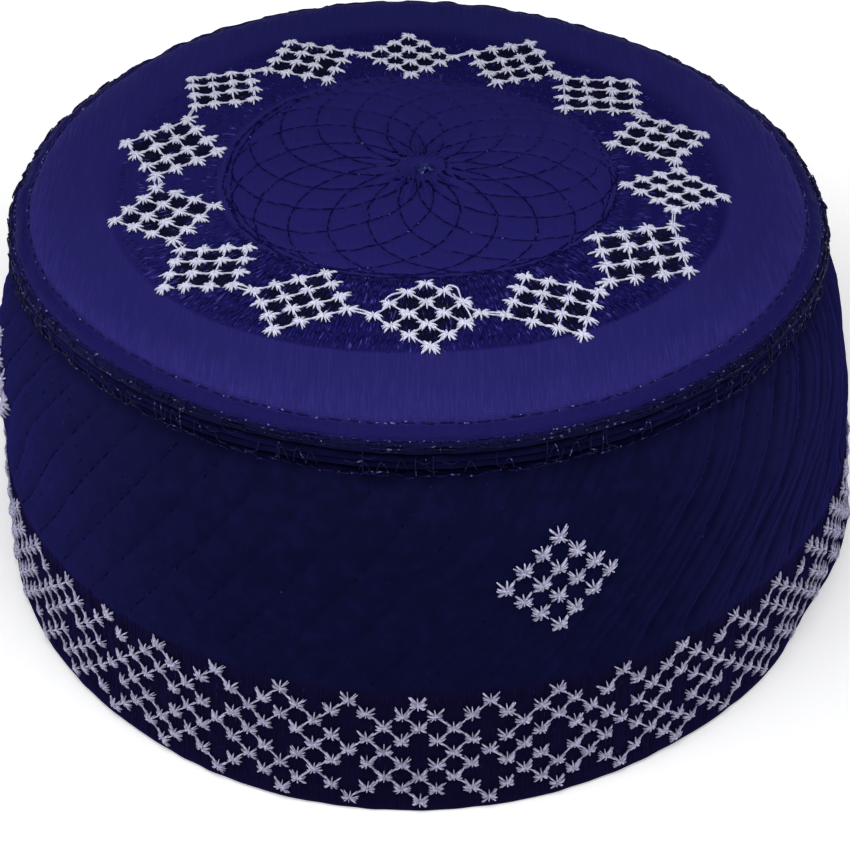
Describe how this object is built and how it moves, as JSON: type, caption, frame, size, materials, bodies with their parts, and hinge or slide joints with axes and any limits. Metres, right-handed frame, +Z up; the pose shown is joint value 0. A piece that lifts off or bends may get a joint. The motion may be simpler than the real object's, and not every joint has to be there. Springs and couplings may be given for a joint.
{
  "type": "embroidered prayer cap",
  "caption": "Drum-shaped brimless cloth cap with a quilted side wall, flat embroidered top and star-stitch borders, open below for the head.",
  "frame": {"origin": "middle of the outline, on the surface that the rim rests on", "axes": "+Z up through the top, the front of the cap faces -Y, +X is the side on the right in a front view"},
  "size_m": [0.1874, 0.1864, 0.0864],
  "materials": {
    "side_cloth": "matt quilted cotton",
    "crown_cloth": "smooth cotton poplin",
    "tonal_thread": "dark embroidery thread with a soft sheen",
    "white_thread": "white embroidery thread with a soft sheen"
  },
  "bodies": {
    "root": {"side_band": "side_cloth", "crown_seam": "tonal_thread", "crown_top": "crown_cloth", "centre_knot": "tonal_thread"}
  },
  "joints": []
}
